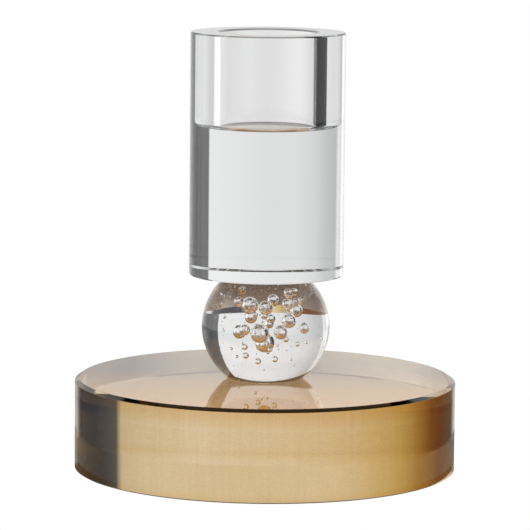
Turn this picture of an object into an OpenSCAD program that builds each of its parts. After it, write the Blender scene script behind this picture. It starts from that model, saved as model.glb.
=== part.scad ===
// Glass candlestick: a clear crystal cup for one taper candle, on a clear glass ball full of air
// bubbles, on a thick amber glass disc. The three pieces of glass are bonded flat face to flat face.
// The origin is the centre of the disc's underside, +Z is up, and all sizes are in millimetres.

/* [Amber base] */
// Diameter of the amber disc
base_d = 86.5; // [70:0.5:110]
// Thickness of the amber disc
base_h = 20.4; // [14:0.2:30]
// Width of the bevel round the disc's upper edge
base_top_bevel = 1; // [0.2:0.1:2]
// Height of that bevel, down the disc's wall
base_top_drop = 0.7; // [0.2:0.1:2]
// Bevel round the disc's lower edge
base_foot_bevel = 0.1; // [0.05:0.05:1]

/* [Bubble ball] */
// Diameter of the ball before its flats are ground
ball_d = 29; // [28:0.1:32]
// Height of the ball between its ground flats
ball_h = 23.5; // [20:0.1:26]
// Size of the bubbles against their drawn size
bubble_scale = 1; // [0.5:0.05:1]

/* [Candle cup] */
// Outer diameter of the crystal cup
cup_d = 35; // [30:0.5:45]
// Height of the crystal cup
cup_h = 55; // [40:0.5:80]
// Bevel round the cup's rim and foot
cup_bevel = 0.3; // [0.1:0.1:1]
// Diameter of the candle socket
socket_d = 22; // [19:0.1:25]
// Depth of the candle socket
socket_depth = 21.5; // [15:0.5:30]
// Radius in the corner of the socket's floor
socket_fillet = 1; // [0.4:0.1:2]
// Bevel round the socket's mouth
mouth_bevel = 0.4; // [0.1:0.1:1]

/* [Adhesive] */
// Thickness of each film of clear adhesive
bond_t = 0.1; // [0.05:0.05:0.3]
// How far a film stops short of the edge of the ball's flat
bond_margin = 1.2; // [0.4:0.1:3]

/* [Hidden] */

smooth = 96;
round_part = 160;
proud = 1;

flat_r = sqrt(pow(ball_d / 2, 2) - pow(ball_h / 2, 2));
bond_r = flat_r - bond_margin;

// The stack from the bottom up
lower_bond_z = base_h;
ball_foot_z = lower_bond_z + bond_t;
ball_centre_z = ball_foot_z + ball_h / 2;
upper_bond_z = ball_foot_z + ball_h;
cup_foot_z = upper_bond_z + bond_t;
cup_top_z = cup_foot_z + cup_h;
socket_floor_z = cup_top_z - socket_depth;

// Air bubbles in the ball: x, y and z from the ball's centre, and radius. The front is -Y.
bubbles = [
    // the left arm of the cluster
    [-5.1, -5.0, 5.2, 1.0], [-2.6, -1.0, 3.4, 1.4], [-2.3, -6.5, 4.9, 0.8],
    [-2.1, 1.5, 1.0, 0.9], [-1.8, -4.0, 2.5, 0.5], [-3.4, 2.0, 4.9, 0.6], [-4.6, -3.0, 7.1, 0.5],
    // the middle
    [0.0, -5.0, 4.0, 1.3], [1.2, -2.0, 4.6, 1.0], [-0.2, -3.0, 2.1, 0.6],
    [0.8, 0.0, 1.1, 0.7], [0.5, 3.0, -0.2, 0.6],
    // the right arm
    [4.2, -4.0, 6.7, 1.0], [4.8, -1.0, 5.9, 0.7], [6.8, -4.5, 5.5, 0.8],
    [5.6, -6.0, 5.6, 0.9], [3.7, -3.0, 4.2, 1.0], [5.0, -1.5, 2.8, 1.1],
    [4.0, -3.5, 1.5, 1.3], [3.2, -1.0, 2.0, 0.5], [6.8, -3.5, 0.2, 1.0],
    // the foot of the cluster
    [2.7, -5.5, -0.3, 1.3], [3.4, -3.0, -1.8, 0.5], [-4.3, -2.5, -0.6, 1.2],
    [-3.7, -5.0, 0.0, 1.0], [-1.1, -7.0, -0.4, 1.8], [-0.1, -1.0, -2.4, 1.6],
    [-0.1, -4.5, -2.5, 0.8], [0.8, -3.5, -3.5, 0.4],
    // strays below and at the left
    [-3.6, -4.0, -3.1, 0.6], [-3.4, -4.0, -4.6, 0.6], [-1.3, -4.5, -5.6, 0.6],
    [1.7, -5.0, -5.2, 0.6], [5.8, -5.0, -2.5, 0.5], [2.2, -6.0, -2.6, 0.3],
    [-8.2, -4.0, 4.8, 0.5], [-7.4, -5.0, 4.4, 0.3], [-7.2, -3.0, 1.9, 0.3], [-6.2, -5.0, -3.5, 0.3]
];

// A disc standing on z 0, bevelled by foot at its lower edge, and by top across and drop down at its upper.
module bevelled_disc(d, h, foot, top, drop) {
    r = d / 2;
    rotate_extrude($fn = round_part)
        polygon([[0, 0], [r - foot, 0], [r, foot], [r, h - drop], [r - top, h], [0, h]]);
}

// The bore for the candle, open at the top: straight wall, bevelled mouth, filleted floor.
module candle_socket() {
    r = socket_d / 2;
    f = socket_fillet;
    rotate_extrude($fn = round_part)
        union() {
            polygon([[0, 0], [r - f, 0], [r - f, f], [r, f], [r, socket_depth - mouth_bevel],
                     [r + mouth_bevel, socket_depth], [r + mouth_bevel, socket_depth + proud],
                     [0, socket_depth + proud]]);
            intersection() {
                translate([r - f, f]) circle(r = f, $fn = smooth);
                translate([r - f, 0]) square([f, f]);
            }
        }
}

module amber_base() {
    color([0.83, 0.62, 0.32, 0.75])
        bevelled_disc(base_d, base_h, base_foot_bevel, base_top_bevel, base_top_drop);
}

// One thin round film of clear adhesive.
module bond_film() {
    color([0.92, 0.93, 0.9, 0.6])
        cylinder(r = bond_r, h = bond_t, $fn = smooth);
}

module lower_bond() {
    translate([0, 0, lower_bond_z]) bond_film();
}

module bubble_ball() {
    color([0.9, 0.92, 0.93, 0.4])
        translate([0, 0, ball_centre_z])
            difference() {
                intersection() {
                    sphere(d = ball_d, $fn = smooth);
                    cube([2 * ball_d, 2 * ball_d, ball_h], center = true);
                }
                for (b = bubbles)
                    translate([b[0], b[1], b[2]])
                        sphere(r = b[3] * bubble_scale, $fn = 24);
            }
}

module upper_bond() {
    translate([0, 0, upper_bond_z]) bond_film();
}

module candle_cup() {
    color([0.88, 0.9, 0.92, 0.4])
        translate([0, 0, cup_foot_z])
            difference() {
                bevelled_disc(cup_d, cup_h, cup_bevel, cup_bevel, cup_bevel);
                translate([0, 0, cup_h - socket_depth]) candle_socket();
            }
}

amber_base();
lower_bond();
bubble_ball();
upper_bond();
candle_cup();
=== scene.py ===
import math

import bpy
import numpy as np
from mathutils import Euler, Matrix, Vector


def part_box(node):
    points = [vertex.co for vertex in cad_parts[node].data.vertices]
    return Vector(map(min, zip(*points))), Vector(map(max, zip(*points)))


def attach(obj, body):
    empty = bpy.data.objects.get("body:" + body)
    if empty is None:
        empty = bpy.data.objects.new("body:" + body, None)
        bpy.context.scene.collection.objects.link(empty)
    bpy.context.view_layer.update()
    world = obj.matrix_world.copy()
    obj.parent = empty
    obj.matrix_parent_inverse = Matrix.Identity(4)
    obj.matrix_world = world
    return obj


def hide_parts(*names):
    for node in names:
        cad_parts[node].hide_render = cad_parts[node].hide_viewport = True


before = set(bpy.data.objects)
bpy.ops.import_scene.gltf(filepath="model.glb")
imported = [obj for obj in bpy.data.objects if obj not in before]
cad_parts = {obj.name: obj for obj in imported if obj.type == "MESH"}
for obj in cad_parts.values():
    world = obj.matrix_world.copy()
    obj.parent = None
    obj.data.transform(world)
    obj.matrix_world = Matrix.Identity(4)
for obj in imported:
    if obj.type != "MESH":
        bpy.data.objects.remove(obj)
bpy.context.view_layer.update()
mm = 0.001                                   # sizes below are in millimetres, meshes are in metres
noiseSpan = (0.34, 0.66)                     # most of a noise's values lie between these
print("frame loaded:", ", ".join(sorted(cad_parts)))


# one mesh from its points and faces, shaded smooth where faces meet by less than 60 degrees
def addPiece(name, points, faces, material, smooth=True):
    mesh = bpy.data.meshes.new(name)
    mesh.from_pydata(points.tolist(), [], [list(f) for f in faces])
    mesh.validate()
    mesh.update()
    mesh.polygons.foreach_set("use_smooth", np.full(len(mesh.polygons), smooth))
    mesh.set_sharp_from_angle(angle=math.radians(60))
    mesh.materials.append(material)
    piece = bpy.data.objects.new(name, mesh)
    bpy.context.scene.collection.objects.link(piece)
    return piece


# a rounded corner: the arc of radius r that leaves one straight side and joins the next, with a support
# point a hair outside each end, so that the flat faces beside it stay flat when shaded
def corner(before, at, after, r, steps=5, support=0.06):
    before, at, after = (np.array(p, float) for p in (before, at, after))
    if r == 0:
        return at[None]
    u = (before - at) / np.linalg.norm(before - at)
    v = (after - at) / np.linalg.norm(after - at)
    half = math.acos(np.clip(u @ v, -1, 1)) / 2
    reach = r / math.tan(half)
    middle = at + (u + v) / np.linalg.norm(u + v) * r / math.sin(half)
    start, end = at + u * reach, at + v * reach
    a, b = start - middle, end - middle
    swing = math.pi - 2 * half
    t = np.linspace(0, 1, steps + 1)[:, None]
    arc = middle + (np.sin((1 - t) * swing) * a + np.sin(t * swing) * b) / math.sin(swing)
    return np.vstack([start + u * support, arc, end + v * support])


# an outline with each inner corner rounded: points are (radius, height) pairs, radii one per corner
def outline(points, radii):
    rows = [np.array([points[0]], float)]
    for i, r in enumerate(radii, start=1):
        rows.append(corner(points[i - 1], points[i], points[i + 1], r))
    rows.append(np.array([points[-1]], float))
    return np.vstack(rows)


# a lathe: each outline point (r, z) is carried round the axis, x = r cos(a), y = r sin(a), z = z.
# the outline starts and ends on the axis, where fans of triangles close it
def lathe(profile, turns):
    rings = profile[1:-1]
    a = np.arange(turns) * 2 * math.pi / turns
    x = rings[:, 0, None] * np.cos(a)
    y = rings[:, 0, None] * np.sin(a)
    z = np.repeat(rings[:, 1, None], turns, axis=1)
    body = np.stack([x, y, z], axis=2).reshape(-1, 3)
    points = np.vstack([body, [[0, 0, profile[0, 1]], [0, 0, profile[-1, 1]]]])
    i = np.arange(turns)
    j = (i + 1) % turns
    low = np.arange(len(rings) - 1)[:, None] * turns
    quads = np.stack([low + i, low + j, low + turns + j, low + turns + i], axis=2).reshape(-1, 4)
    last = (len(rings) - 1) * turns
    foot = np.stack([j, i, np.full(turns, len(body))], axis=1)
    head = np.stack([last + i, last + j, np.full(turns, len(body) + 1)], axis=1)
    return points, quads.tolist() + foot.tolist() + head.tolist()


# a round grid for bubbles: the unit sphere as rings of latitude, closed by two poles
def unitBall(rings, turns):
    t = np.linspace(-math.pi / 2, math.pi / 2, rings + 1)
    return lathe(np.stack([np.cos(t), np.sin(t)], axis=1), turns)


# an empty node material, with its nodes and links
def nodeMaterial(name):
    material = bpy.data.materials.new(name)
    material.use_nodes = True
    nodes = material.node_tree.nodes
    nodes.clear()
    return material, nodes, material.node_tree.links


# the place on a piece in metres. A stretch below 1 draws a pattern out along that axis
def objectPlace(nodes, links, stretch=(1, 1, 1)):
    place = nodes.new("ShaderNodeTexCoord")
    shift = nodes.new("ShaderNodeMapping")
    shift.inputs["Scale"].default_value = stretch
    links.new(place.outputs["Object"], shift.inputs["Vector"])
    return shift.outputs[0]


# soft noise by place: scale counts its waves in a metre
def noiseNode(nodes, links, place, scale, detail=2.0):
    node = nodes.new("ShaderNodeTexNoise")
    node.inputs["Scale"].default_value = scale
    node.inputs["Detail"].default_value = detail
    links.new(place, node.inputs["Vector"])
    return node.outputs[0]


# a straight change from one range to another, held at its ends
def rangeNode(nodes, links, value, low, high, newLow, newHigh):
    node = nodes.new("ShaderNodeMapRange")
    for name, number in (("From Min", low), ("From Max", high), ("To Min", newLow), ("To Max", newHigh)):
        node.inputs[name].default_value = number
    links.new(value, node.inputs["Value"])
    return node.outputs[0]


# two colours mixed or multiplied: numbers and colours are set on their sockets, the rest is linked
def mixColour(nodes, links, amount, first, second, kind="MIX"):
    node = nodes.new("ShaderNodeMix")
    node.data_type = "RGBA"
    node.blend_type = kind
    for socket, value in ((node.inputs[0], amount), (node.inputs[6], first), (node.inputs[7], second)):
        if isinstance(value, (int, float)):
            socket.default_value = value
        elif isinstance(value, tuple):
            socket.default_value = (*value, 1)
        else:
            links.new(value, socket)
    return node.outputs[2]


# a colour ramp with a stop for each (place, value) pair, places counted between low and high
def ramp(nodes, stops, low, high):
    node = nodes.new("ShaderNodeValToRGB")
    band = node.color_ramp
    while len(band.elements) > 1:
        band.elements.remove(band.elements[-1])
    for i, (at, value) in enumerate(stops):
        place = min((at - low) / (high - low), 1)
        element = band.elements[0] if i == 0 else band.elements.new(place)
        element.position = place
        element.color = (*value, 1) if isinstance(value, tuple) else (value, value, value, 1)
    return node


# one step of arithmetic on numbers and sockets
def mathNode(nodes, links, kind, *values):
    node = nodes.new("ShaderNodeMath")
    node.operation = kind
    for socket, value in zip(node.inputs, values):
        if isinstance(value, (int, float)):
            socket.default_value = value
        else:
            links.new(value, socket)
    return node.outputs[0]


# tiny specks: 1 inside the round spots where the distance to the nearest random point is small
def specks(nodes, links, place, scale, size):
    node = nodes.new("ShaderNodeTexVoronoi")
    node.inputs["Scale"].default_value = scale
    links.new(place, node.inputs["Vector"])
    return rangeNode(nodes, links, node.outputs["Distance"], size, size * 0.6, 0.0, 1.0)


# each kind of glass: density is its absorption in a metre, scales count waves or specks in a metre
glassLook = {
    "crystal": {"ior": 1.52, "tint": (0.88, 0.90, 0.90), "density": 12.0,
                "wave": 90.0, "waveHeight": 0.004, "dust": 260.0, "dustSize": 0.035, "smear": 0.012},
    "amber": {"ior": 1.52, "tint": (0.84, 0.62, 0.12), "density": 13.0,
              "wave": 70.0, "waveHeight": 0.0015, "dust": 300.0, "dustSize": 0.04, "smear": 0.02},
    "bond": {"ior": 1.50, "tint": (0.90, 0.91, 0.88), "density": 20.0,
             "wave": 400.0, "waveHeight": 0.002, "dust": 500.0, "dustSize": 0.05, "smear": 0.05},
}


# the wear that every kind of glass shares
glassFinish = {"smearScale": 35.0, "smearSpan": (0.52, 0.75),
               "dustRough": 0.35, "dustColour": (0.80, 0.79, 0.77)}


# polished glass: clear inside, with its colour in the depth of the glass. Its surface has faint waves, specks
# of dust and wiped smears, which only roughen it: roughness = smear * noise + dust
def glassMaterial(name, look):
    material, nodes, links = nodeMaterial(name)
    output = nodes.new("ShaderNodeOutputMaterial")
    shader = nodes.new("ShaderNodeBsdfPrincipled")
    shader.inputs["IOR"].default_value = look["ior"]
    shader.inputs["Transmission Weight"].default_value = 1.0
    place = objectPlace(nodes, links)
    wave = noiseNode(nodes, links, place, look["wave"], 1.0)
    bump = nodes.new("ShaderNodeBump")
    bump.inputs["Strength"].default_value = 1.0
    bump.inputs["Distance"].default_value = look["waveHeight"] * mm
    links.new(wave, bump.inputs["Height"])
    links.new(bump.outputs[0], shader.inputs["Normal"])
    dust = specks(nodes, links, place, look["dust"], look["dustSize"])
    smear = noiseNode(nodes, links, place, glassFinish["smearScale"], 4.0)
    rough = rangeNode(nodes, links, smear, *glassFinish["smearSpan"], 0.0, look["smear"])
    dustRough = mathNode(nodes, links, "MULTIPLY", dust, glassFinish["dustRough"])
    rough = mathNode(nodes, links, "MAXIMUM", rough, dustRough)
    colour = mixColour(nodes, links, dust, (1.0, 1.0, 1.0), glassFinish["dustColour"])
    absorb = nodes.new("ShaderNodeVolumeAbsorption")
    absorb.inputs["Color"].default_value = (*look["tint"], 1)
    absorb.inputs["Density"].default_value = look["density"]
    links.new(rough, shader.inputs["Roughness"])
    links.new(colour, shader.inputs["Base Color"])
    links.new(shader.outputs[0], output.inputs["Surface"])
    links.new(absorb.outputs[0], output.inputs["Volume"])
    parts = {"nodes": nodes, "links": links, "shader": shader, "place": place,
             "rough": rough, "colour": colour}
    return material, parts


amberDisc = {
    "topBevel": 1.0, "topDrop": 0.7, "round": 0.05, "turns": 320,
    # its colour by height above the foot
    "bands": [(0, (0.93, 0.84, 0.66)), (0.9, (0.97, 0.92, 0.82)), (2.2, (1.0, 1.0, 1.0)),
              (15.5, (1.0, 1.0, 1.0)), (18.2, (0.90, 0.74, 0.52)), (20.4, (0.82, 0.58, 0.30))],
    "wander": 0.6, "wanderScale": 120.0,
    "grain": 0.08, "grainScale": 3500.0,
    "streak": 0.07, "streakScale": 1300.0, "streakStretch": 0.06,
    "wallFrom": 0.65, "wallTo": 0.25,        # the wall's colour starts and is full this far in from the side
}


# the amber disc's wall colour changes with height: deeper amber just under the top edge and at the foot, with
# fine grain and upright streaks. Colour = band by height * (1 - grain - streaks), on the wall only
def amberMaterial():
    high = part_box("amber_base")[1]
    material, parts = glassMaterial("amberGlass", glassLook["amber"])
    nodes, links, place = parts["nodes"], parts["links"], parts["place"]
    split = nodes.new("ShaderNodeSeparateXYZ")
    links.new(place, split.inputs[0])
    band = ramp(nodes, amberDisc["bands"], 0, high.z / mm)
    wander = noiseNode(nodes, links, place, amberDisc["wanderScale"], 3.0)
    height = mathNode(nodes, links, "MULTIPLY_ADD", wander, amberDisc["wander"] * mm, split.outputs["Z"])
    links.new(mathNode(nodes, links, "MULTIPLY", height, 1 / high.z), band.inputs[0])
    grain = noiseNode(nodes, links, place, amberDisc["grainScale"], 2.0)
    upright = objectPlace(nodes, links, (1, 1, amberDisc["streakStretch"]))
    streak = noiseNode(nodes, links, upright, amberDisc["streakScale"], 2.0)
    grainShade = rangeNode(nodes, links, grain, *noiseSpan, 1.0, 1.0 - amberDisc["grain"])
    streakShade = rangeNode(nodes, links, streak, *noiseSpan, 0.0, -amberDisc["streak"])
    shade = mathNode(nodes, links, "ADD", grainShade, streakShade)
    across = mathNode(nodes, links, "MULTIPLY", split.outputs["X"], split.outputs["X"])
    across = mathNode(nodes, links, "MULTIPLY_ADD", split.outputs["Y"], split.outputs["Y"], across)
    across = mathNode(nodes, links, "SQRT", across)
    wallFrom, wallTo = (high.x - amberDisc[name] * mm for name in ("wallFrom", "wallTo"))
    onWall = rangeNode(nodes, links, across, wallFrom, wallTo, 0.0, 1.0)
    wallColour = mixColour(nodes, links, 1.0, band.outputs["Color"], shade, "MULTIPLY")
    wallColour = mixColour(nodes, links, onWall, (1.0, 1.0, 1.0), wallColour)
    tinted = mixColour(nodes, links, 1.0, parts["colour"], wallColour, "MULTIPLY")
    links.new(tinted, parts["shader"].inputs["Base Color"])
    return material


# the disc's outline is turned on the lathe: its foot, a straight wall up to the bevel, and the flat top
def makeBase():
    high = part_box("amber_base")[1]
    r, h = high.x / mm, high.z / mm
    top, drop, edge = amberDisc["topBevel"], amberDisc["topDrop"], amberDisc["round"]
    points = [(0, 0), (r, 0), (r, h - drop), (r - top, h), (0, h)]
    shape, faces = lathe(outline(points, [0, edge, edge]), amberDisc["turns"])
    piece = addPiece("amberBase", shape * mm, faces, amberMaterial())
    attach(piece, "root")
    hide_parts("amber_base")
    print("amber disc made")


bubbleBall = {
    "round": 0.1, "turns": 256, "bands": 96, "bubbleGrid": (16, 32),
    # seeds are the tiniest bubbles: how many, out of how many tries, and how far from the wall and bubbles
    "seeds": 240, "seedTries": 2000, "seedSizes": (0.06, 0.20), "seedGrid": (4, 7), "skin": 0.5, "apart": 0.1,
}
# the bubbles as (x, y, z, radius) from the middle of the ball
bubbles = np.array([
    [-5.1, -5.0, 5.2, 1.0], [-2.6, -1.0, 3.4, 1.4], [-2.3, -6.5, 4.9, 0.8],
    [-2.1, 1.5, 1.0, 0.9], [-1.8, -4.0, 2.5, 0.5], [-3.4, 2.0, 4.9, 0.6], [-4.6, -3.0, 7.1, 0.5],
    [0.0, -5.0, 4.0, 1.3], [1.2, -2.0, 4.6, 1.0], [-0.2, -3.0, 2.1, 0.6],
    [0.8, 0.0, 1.1, 0.7], [0.5, 3.0, -0.2, 0.6],
    [4.2, -4.0, 6.7, 1.0], [4.8, -1.0, 5.9, 0.7], [6.8, -4.5, 5.5, 0.8],
    [5.6, -6.0, 5.6, 0.9], [3.7, -3.0, 4.2, 1.0], [5.0, -1.5, 2.8, 1.1],
    [4.0, -3.5, 1.5, 1.3], [3.2, -1.0, 2.0, 0.5], [6.8, -3.5, 0.2, 1.0],
    [2.7, -5.5, -0.3, 1.3], [3.4, -3.0, -1.8, 0.5], [-4.3, -2.5, -0.6, 1.2],
    [-3.7, -5.0, 0.0, 1.0], [-1.1, -7.0, -0.4, 1.8], [-0.1, -1.0, -2.4, 1.6],
    [-0.1, -4.5, -2.5, 0.8], [0.8, -3.5, -3.5, 0.4],
    [-3.6, -4.0, -3.1, 0.6], [-3.4, -4.0, -4.6, 0.6], [-1.3, -4.5, -5.6, 0.6],
    [1.7, -5.0, -5.2, 0.6], [5.8, -5.0, -2.5, 0.5], [2.2, -6.0, -2.6, 0.3],
    [-8.2, -4.0, 4.8, 0.5], [-7.4, -5.0, 4.4, 0.3], [-7.2, -3.0, 1.9, 0.3], [-6.2, -5.0, -3.5, 0.3],
])


# many copies of the unit ball: every point is centre + radius * unit point, all at once. The faces are
# turned over, so that they point into the air inside each bubble
def hollowBubbles(centres, radii, grid):
    unit, faces = unitBall(*grid)
    points = centres[:, None, :] + radii[:, None, None] * unit[None]
    shift = len(unit)
    turned = [f[::-1] for f in faces]
    everyFace = [[v + k * shift for v in f] for k in range(len(centres)) for f in turned]
    return points.reshape(-1, 3), everyFace


# random places and sizes for the seeds, kept off the ball's wall and flats and off the bubbles
def seedBubbles(r, half):
    chance = np.random.default_rng(7)
    small, large = bubbleBall["seedSizes"]
    tries, skin = bubbleBall["seedTries"], bubbleBall["skin"]
    places = chance.uniform(-r, r, (tries, 3))
    sizes = small + (large - small) * chance.uniform(0, 1, tries) ** 2
    inWall = np.linalg.norm(places, axis=1) + sizes < r - skin
    inFlats = np.abs(places[:, 2]) + sizes < half - skin
    gaps = np.linalg.norm(places[:, None, :] - bubbles[None, :, :3], axis=2) - bubbles[None, :, 3]
    clear = gaps.min(axis=1) > sizes + bubbleBall["apart"]
    keep = np.flatnonzero(inWall & inFlats & clear)[:bubbleBall["seeds"]]
    return places[keep], sizes[keep]


# the ball's wall is the arc (r cos(t), r sin(t)) between its two flats, turned on the lathe, with every
# bubble and seed as a closed hole inside
def makeBall():
    low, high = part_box("bubble_ball")
    centre = (low.z + high.z) / 2 / mm
    half = (high.z - low.z) / 2 / mm
    r = high.x / mm
    flat = math.sqrt(r * r - half * half)
    edge = bubbleBall["round"]
    tilt = math.asin(half / r)
    t = np.linspace(-tilt, tilt, bubbleBall["bands"])[1:-1]
    wall = np.stack([r * np.cos(t), r * np.sin(t)], axis=1)
    footCorner = corner((0, -half), (flat, -half), wall[0], edge)
    headCorner = corner(wall[-1], (flat, half), (0, half), edge)
    profile = np.vstack([[[0, -half]], footCorner[:-1], wall[1:-1], headCorner[1:], [[0, half]]])
    outside, faces = lathe(profile, bubbleBall["turns"])
    inside, holes = hollowBubbles(bubbles[:, :3], bubbles[:, 3], bubbleBall["bubbleGrid"])
    holes = [[v + len(outside) for v in f] for f in holes]
    seedPlaces, seedSizes = seedBubbles(r, half)
    seedPoints, seedFaces = hollowBubbles(seedPlaces, seedSizes, bubbleBall["seedGrid"])
    start = len(outside) + len(inside)
    holes += [[v + start for v in f] for f in seedFaces]
    points = np.vstack([outside, inside, seedPoints]) + [0, 0, centre]
    material = glassMaterial("bubbleGlass", glassLook["crystal"])[0]
    piece = addPiece("bubbleBall", points * mm, faces + holes, material)
    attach(piece, "root")
    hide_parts("bubble_ball")
    print("ball made with", len(bubbles), "bubbles and", len(seedPlaces), "seeds")


candleCup = {
    "bevel": 0.3, "mouthBevel": 0.4, "round": 0.08, "turns": 256,
    "socket": 11.0, "depth": 21.5, "fillet": 1.0,
    # the ground floor of the socket: where it starts and is full, its grain and its roughness
    "groundFrom": 0.35, "groundTo": 0.15, "groundScale": 1800.0, "groundRough": (0.03, 0.16),
}


# the cup is polished, but the floor of its socket is left ground: roughness there = nearness to the floor's
# height * grain
def cupMaterial():
    material, parts = glassMaterial("clearCrystal", glassLook["crystal"])
    nodes, links = parts["nodes"], parts["links"]
    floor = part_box("candle_cup")[1].z - candleCup["depth"] * mm
    split = nodes.new("ShaderNodeSeparateXYZ")
    links.new(parts["place"], split.inputs[0])
    away = mathNode(nodes, links, "ABSOLUTE", mathNode(nodes, links, "SUBTRACT", split.outputs["Z"], floor))
    start, full = candleCup["groundFrom"] * mm, candleCup["groundTo"] * mm
    ground = rangeNode(nodes, links, away, start, full, 0.0, 1.0)
    grain = noiseNode(nodes, links, parts["place"], candleCup["groundScale"], 3.0)
    rough = rangeNode(nodes, links, grain, 0.3, 0.7, *candleCup["groundRough"])
    rough = mathNode(nodes, links, "MULTIPLY", ground, rough)
    links.new(mathNode(nodes, links, "MAXIMUM", parts["rough"], rough), parts["shader"].inputs["Roughness"])
    return material


# the cup's outline is turned on the lathe: up the outside, over the bevelled rim and down into the socket
def makeCup():
    low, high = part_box("candle_cup")
    r, z0, z1 = high.x / mm, low.z / mm, high.z / mm
    bevel, mouth, bore = candleCup["bevel"], candleCup["mouthBevel"], candleCup["socket"]
    floor = z1 - candleCup["depth"]
    points = [(0, z0), (r - bevel, z0), (r, z0 + bevel), (r, z1 - bevel), (r - bevel, z1),
              (bore + mouth, z1), (bore, z1 - mouth), (bore, floor), (0, floor)]
    radii = [candleCup["round"]] * 6 + [candleCup["fillet"]]
    shape, faces = lathe(outline(points, radii), candleCup["turns"])
    piece = addPiece("candleCup", shape * mm, faces, cupMaterial())
    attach(piece, "root")
    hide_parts("candle_cup")
    print("candle cup made")


bondFilms = {"gap": 0.02, "round": 0.02, "turns": 96}


# a film of adhesive: a thin turned disc, a hair clear of the glass above and below
def makeBond(name, node, material):
    low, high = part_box(node)
    gap, edge = bondFilms["gap"], bondFilms["round"]
    z0, z1, r = low.z / mm + gap, high.z / mm - gap, high.x / mm
    points = [(0, z0), (r, z0), (r, z1), (0, z1)]
    shape, faces = lathe(outline(points, [edge, edge]), bondFilms["turns"])
    piece = addPiece(name, shape * mm, faces, material)
    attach(piece, "root")
    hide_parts(node)
    print(name, "made")


makeBase()
makeBall()
makeCup()
bondFilm = glassMaterial("bondFilm", glassLook["bond"])[0]
makeBond("lowerBond", "lower_bond", bondFilm)
makeBond("upperBond", "upper_bond", bondFilm)

studio = {
    "white": 1.0, "floorRadius": 600, "floorLevel": -0.3, "hole": 0.1,
    # brightness round the room, in degrees from straight behind the object, plus to the right
    "round": [(-180, 0.42), (-150, 0.75), (-120, 1.2), (-100, 1.4), (-70, 1.4), (-66, 1.0), (-57, 1.0),
              (-53, 0.57), (-40, 0.60), (-30, 0.69), (-15, 0.76), (0, 0.80), (20, 0.82), (37.2, 0.82),
              (37.8, 0.08), (50, 0.04), (62, 0.02), (90, 0.02), (100, 0.3), (135, 0.9), (160, 0.5),
              (180, 0.42)],
    # and its share by height, in degrees from straight down to straight up: dark overhead
    "rise": [(-90, 0.2), (-32, 0.35), (-21, 1.0), (2, 1.0), (7, 1.08), (15, 1.08), (20, 1.02),
             (30, 1.06), (41, 1.06), (42.8, 0.05), (70, 0.04), (90, 0.03)],
    # warm light round the foot of the amber disc, on a low wall, by the same turn
    "glow": [(-180, (0.18, 0.17, 0.15)), (-115, (0.22, 0.22, 0.22)), (-90, (0.16, 0.20, 0.26)),
             (-68, (0.08, 0.10, 0.14)), (-56, (0.45, 0.48, 0.52)), (-46, (0.60, 0.64, 0.70)),
             (-38, (0.17, 0.08, 0.03)), (-24, (0.19, 0.055, 0.002)), (-18, (0.25, 0.10, 0.01)),
             (-13, (0.43, 0.25, 0.06)), (-8.5, (0.63, 0.47, 0.19)), (-4, (0.78, 0.65, 0.42)),
             (-1, (0.88, 0.81, 0.74)), (0, (0.93, 0.90, 0.93)), (1, (0.96, 0.97, 1.08)),
             (3, (0.88, 0.87, 0.90)), (6.5, (0.82, 0.80, 0.775)), (9.9, (0.76, 0.72, 0.66)),
             (10.1, (0.12, 0.14, 0.20)), (14, (0.08, 0.09, 0.13)), (20, (0.03, 0.03, 0.035)),
             (37, (0.01, 0.01, 0.01)), (43, (0.75, 0.75, 0.76)), (52, (0.75, 0.75, 0.76)),
             (62, (0.10, 0.10, 0.10)), (95, (0.05, 0.05, 0.05)), (130, (0.18, 0.17, 0.15)),
             (180, (0.18, 0.17, 0.15))],
    # the same light on a second, nearer wall above it, for the rays that leave the disc's back going up
    "glowHigh": [(-180, (0.18, 0.17, 0.15)), (-90, (0.16, 0.20, 0.26)), (-60, (0.40, 0.43, 0.48)),
                 (-39, (0.17, 0.08, 0.03)), (-20, (0.20, 0.06, 0.004)), (-10, (0.43, 0.25, 0.06)),
                 (-6, (0.63, 0.47, 0.19)), (-2, (0.78, 0.66, 0.43)), (-0.6, (0.88, 0.83, 0.77)),
                 (0.6, (0.90, 0.88, 0.89)), (4, (0.82, 0.80, 0.77)), (7.1, (0.76, 0.72, 0.66)),
                 (7.3, (0.10, 0.12, 0.19)), (12, (0.03, 0.035, 0.06)), (19, (0.01, 0.01, 0.015)),
                 (37, (0.01, 0.01, 0.01)), (43, (0.75, 0.75, 0.76)), (52, (0.75, 0.75, 0.76)),
                 (62, (0.10, 0.10, 0.10)), (130, (0.18, 0.17, 0.15)), (180, (0.18, 0.17, 0.15))],
    # where the disc's foot ends and where those walls stand, from what height to what height
    "glowInside": 43.26, "glowOutside": 72, "glowHeight": 8.6,
    "highAt": 66, "highFrom": 7.0, "highTo": 15.6, "level": -0.02,
    # the walls again, behind the first and only for reflections: first turn, height
    "shades": (("leftShade", -120), ("rightShade", 30)), "shadeTurn": 90, "shadeHeight": 21, "shadeBehind": 1,
    # the polished floor between the disc and the walls
    "polish": (0.98, 0.96, 0.92), "polishRough": 0.02,
    # the floor under the disc glows with painted light and shade: bright amber at its front edge, darkening
    # to painted shade at its back edge
    "under": [(-43, (0.85, 0.42, 0.07)), (-10, (0.66, 0.32, 0.05)), (12, (0.40, 0.20, 0.04)),
              (24, (0.14, 0.06, 0.015)), (43, (0.06, 0.025, 0.01))],
    # the painted contact shadow: a dark ring in front of the foot and the thin line under it; and the floor
    # that the glass mirrors
    "contact": (0.10, 0.06, 0.04), "contactWidth": 4,
    "line": (0.16, 0.10, 0.07), "lineRadius": 42.6, "lineForward": 1.6,
    "near": (0.20, 0.20, 0.20), "nearRadius": 250,
}


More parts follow.
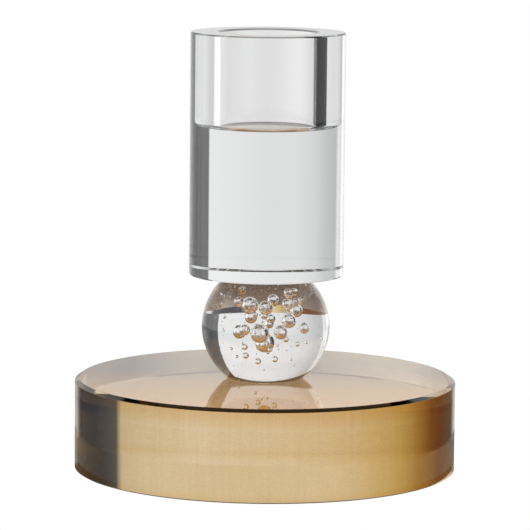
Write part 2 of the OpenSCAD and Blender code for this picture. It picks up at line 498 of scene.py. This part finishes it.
# brightness by direction: the turn is atan2(x, y) and the rise is asin(z), each put on its own ramp
def makeWorld():
    world = bpy.data.worlds.new("studio")
    bpy.context.scene.world = world
    world.use_nodes = True
    nodes, links = world.node_tree.nodes, world.node_tree.links
    nodes.clear()
    place = nodes.new("ShaderNodeTexCoord")
    split = nodes.new("ShaderNodeSeparateXYZ")
    links.new(place.outputs["Generated"], split.inputs[0])
    turn = mathNode(nodes, links, "ARCTAN2", split.outputs["X"], split.outputs["Y"])
    turn = mathNode(nodes, links, "MULTIPLY_ADD", turn, 0.5 / math.pi, 0.5)
    rise = mathNode(nodes, links, "ARCSINE", split.outputs["Z"])
    rise = mathNode(nodes, links, "MULTIPLY_ADD", rise, 1 / math.pi, 0.5)
    roundRamp = ramp(nodes, studio["round"], -180, 180)
    riseRamp = ramp(nodes, studio["rise"], -90, 90)
    links.new(turn, roundRamp.inputs[0])
    links.new(rise, riseRamp.inputs[0])
    light = mathNode(nodes, links, "MULTIPLY", roundRamp.outputs[0], riseRamp.outputs[0])
    studioLight = nodes.new("ShaderNodeBackground")
    studioLight.inputs["Color"].default_value = (1, 1, 1, 1)
    links.new(light, studioLight.inputs["Strength"])
    plain = nodes.new("ShaderNodeBackground")
    plain.inputs["Color"].default_value = (1, 1, 1, 1)
    plain.inputs["Strength"].default_value = studio["white"]
    path = nodes.new("ShaderNodeLightPath")
    mix = nodes.new("ShaderNodeMixShader")
    links.new(path.outputs["Is Camera Ray"], mix.inputs[0])
    links.new(studioLight.outputs[0], mix.inputs[1])
    links.new(plain.outputs[0], mix.inputs[2])
    output = nodes.new("ShaderNodeOutputWorld")
    links.new(mix.outputs[0], output.inputs["Surface"])


# a surface that gives off light with a colour by turn, atan2(x, y), or by depth, y
def glowMaterial(name, stops, low, high, along):
    material, nodes, links = nodeMaterial(name)
    place = nodes.new("ShaderNodeTexCoord")
    split = nodes.new("ShaderNodeSeparateXYZ")
    links.new(place.outputs["Object"], split.inputs[0])
    if along == "turn":
        value = mathNode(nodes, links, "ARCTAN2", split.outputs["X"], split.outputs["Y"])
        value = mathNode(nodes, links, "MULTIPLY_ADD", value, 0.5 / math.pi, 0.5)
    else:
        span = (high - low) * mm
        value = mathNode(nodes, links, "MULTIPLY_ADD", split.outputs["Y"], 1 / span, -low * mm / span)
    band = ramp(nodes, stops, low, high)
    links.new(value, band.inputs[0])
    shine = nodes.new("ShaderNodeEmission")
    links.new(band.outputs["Color"], shine.inputs["Color"])
    output = nodes.new("ShaderNodeOutputMaterial")
    links.new(shine.outputs[0], output.inputs["Surface"])
    return material


# a stage surface of rings round the axis, one for each (radius, height) pair, x = r sin(a) and y = r cos(a),
# between two turns in degrees counted from behind the object towards the right
def ringSurface(name, rows, material, start=-180, end=180, steps=96):
    rows = np.array(rows) * mm
    a = np.radians(np.linspace(start, end, steps + 1))
    x, y = rows[:, 0, None] * np.sin(a), rows[:, 0, None] * np.cos(a)
    points = np.stack([x, y, np.repeat(rows[:, 1, None], steps + 1, axis=1)], axis=2).reshape(-1, 3)
    i = np.arange(steps)
    low = np.arange(len(rows) - 1)[:, None] * (steps + 1)
    faces = np.stack([low + i, low + i + 1, low + steps + 2 + i, low + steps + 1 + i], axis=2).reshape(-1, 4)
    surface = addPiece(name, points, faces.tolist(), material, smooth=False)
    return surface


# leaves a stage surface out of some kinds of light ray
def hideFrom(surface, *rays):
    for ray in rays:
        setattr(surface, "visible_" + ray, False)


# an even light of one colour
def glowing(name, colour, strength=1.0):
    material, nodes, links = nodeMaterial(name)
    shine = nodes.new("ShaderNodeEmission")
    shine.inputs["Color"].default_value = (*colour, 1)
    shine.inputs["Strength"].default_value = strength
    output = nodes.new("ShaderNodeOutputMaterial")
    links.new(shine.outputs[0], output.inputs["Surface"])
    return material


# a flat ring of floor, from one radius to another
def flatRing(name, inner, outer, level, material, start=-180, end=180):
    return ringSurface(name, [(inner, level), (outer, level)], material, start, end)


# the floor and everything low round the disc, each seen only by the rays that need it
def makeFloor():
    level, inner, outer = studio["level"], studio["glowInside"], studio["glowOutside"]
    hole = studio["hole"]
    plain = glowing("paleFloor", (1, 1, 1), studio["white"])
    floor = flatRing("floor", hole, studio["floorRadius"], studio["floorLevel"], plain)
    hideFrom(floor, "transmission", "glossy", "diffuse", "shadow")
    # painted light and shade: the floor under the disc glows amber in front and dark behind, seen only
    # through the glass
    under = glowMaterial("underDiscPaintedLight", studio["under"], -43, 43, "depth")
    rest = flatRing("rest", hole, inner, level, under)
    hideFrom(rest, "camera", "diffuse", "shadow")
    warm = glowMaterial("warmFloor", studio["glow"], -180, 180, "turn")
    wall = ringSurface("warmth", [(outer, level), (outer, studio["glowHeight"])], warm)
    hideFrom(wall, "camera", "diffuse", "shadow")
    warmer = glowMaterial("warmHigh", studio["glowHigh"], -180, 180, "turn")
    highAt = studio["highAt"]
    high = ringSurface("warmthHigh", [(highAt, studio["highFrom"]), (highAt, studio["highTo"])], warmer)
    hideFrom(high, "camera", "glossy", "diffuse", "shadow")
    behind = outer + studio["shadeBehind"]
    for name, start in studio["shades"]:
        rows = [(behind, level), (behind, studio["shadeHeight"])]
        side = ringSurface(name, rows, warm, start, start + studio["shadeTurn"])
        hideFrom(side, "camera", "transmission", "diffuse", "shadow")
    material, nodes, links = nodeMaterial("polishedFloor")
    output = nodes.new("ShaderNodeOutputMaterial")
    polish = nodes.new("ShaderNodeBsdfGlossy")
    polish.inputs["Color"].default_value = (*studio["polish"], 1)
    polish.inputs["Roughness"].default_value = studio["polishRough"]
    links.new(polish.outputs[0], output.inputs["Surface"])
    polished = flatRing("polish", inner, outer, level, material, -90, 90)
    hideFrom(polished, "camera", "glossy", "diffuse", "shadow")
    # painted contact shadow: a dark glowing ring in front of the foot, seen only in the glass
    dark = glowing("contactShade", studio["contact"])
    contact = flatRing("contact", inner, inner + studio["contactWidth"], level, dark, 90, 270)
    hideFrom(contact, "camera", "diffuse", "shadow")
    # painted contact shadow seen by the camera: a thin brown line on the floor, moved forward to show at the
    # disc's front foot
    brown = glowing("contactShadowBrown", studio["line"])
    line = flatRing("contactShadowLine", hole, studio["lineRadius"], level * 1.5, brown)
    line.location = (0, -studio["lineForward"] * mm, 0)
    hideFrom(line, "transmission", "glossy", "diffuse", "shadow")
    grey = glowing("nearFloor", studio["near"])
    near = flatRing("nearFloor", inner, studio["nearRadius"], level * 2, grey)
    hideFrom(near, "camera", "transmission", "diffuse", "shadow")
    print("floor made")


# the camera: its lens, its place in millimetres, and its tilt down and roll in degrees
view = {"lens": 242.7, "side": -0.27, "distance": 803.0, "height": 153.9, "pitch": 7.64, "roll": 0.544}


def makeCamera():
    data = bpy.data.cameras.new("camera")
    data.lens = view["lens"]
    data.sensor_width = 36
    data.clip_start, data.clip_end = 0.05, 20
    camera = bpy.data.objects.new("camera", data)
    bpy.context.scene.collection.objects.link(camera)
    place = Matrix.Translation((view["side"] * mm, -view["distance"] * mm, view["height"] * mm))
    look = Euler((math.radians(90 - view["pitch"]), 0, 0)).to_matrix().to_4x4()
    roll = Matrix.Rotation(math.radians(view["roll"]), 4, "Z")
    camera.matrix_world = place @ look @ roll
    bpy.context.scene.camera = camera


makeWorld()
makeFloor()
makeCamera()
scene = bpy.context.scene
scene.view_settings.view_transform = "Standard"
scene.cycles.max_bounces = 40
scene.cycles.transmission_bounces = 40
scene.cycles.glossy_bounces = 40
scene.cycles.diffuse_bounces = 4
scene.cycles.use_denoising = True
print("studio made")
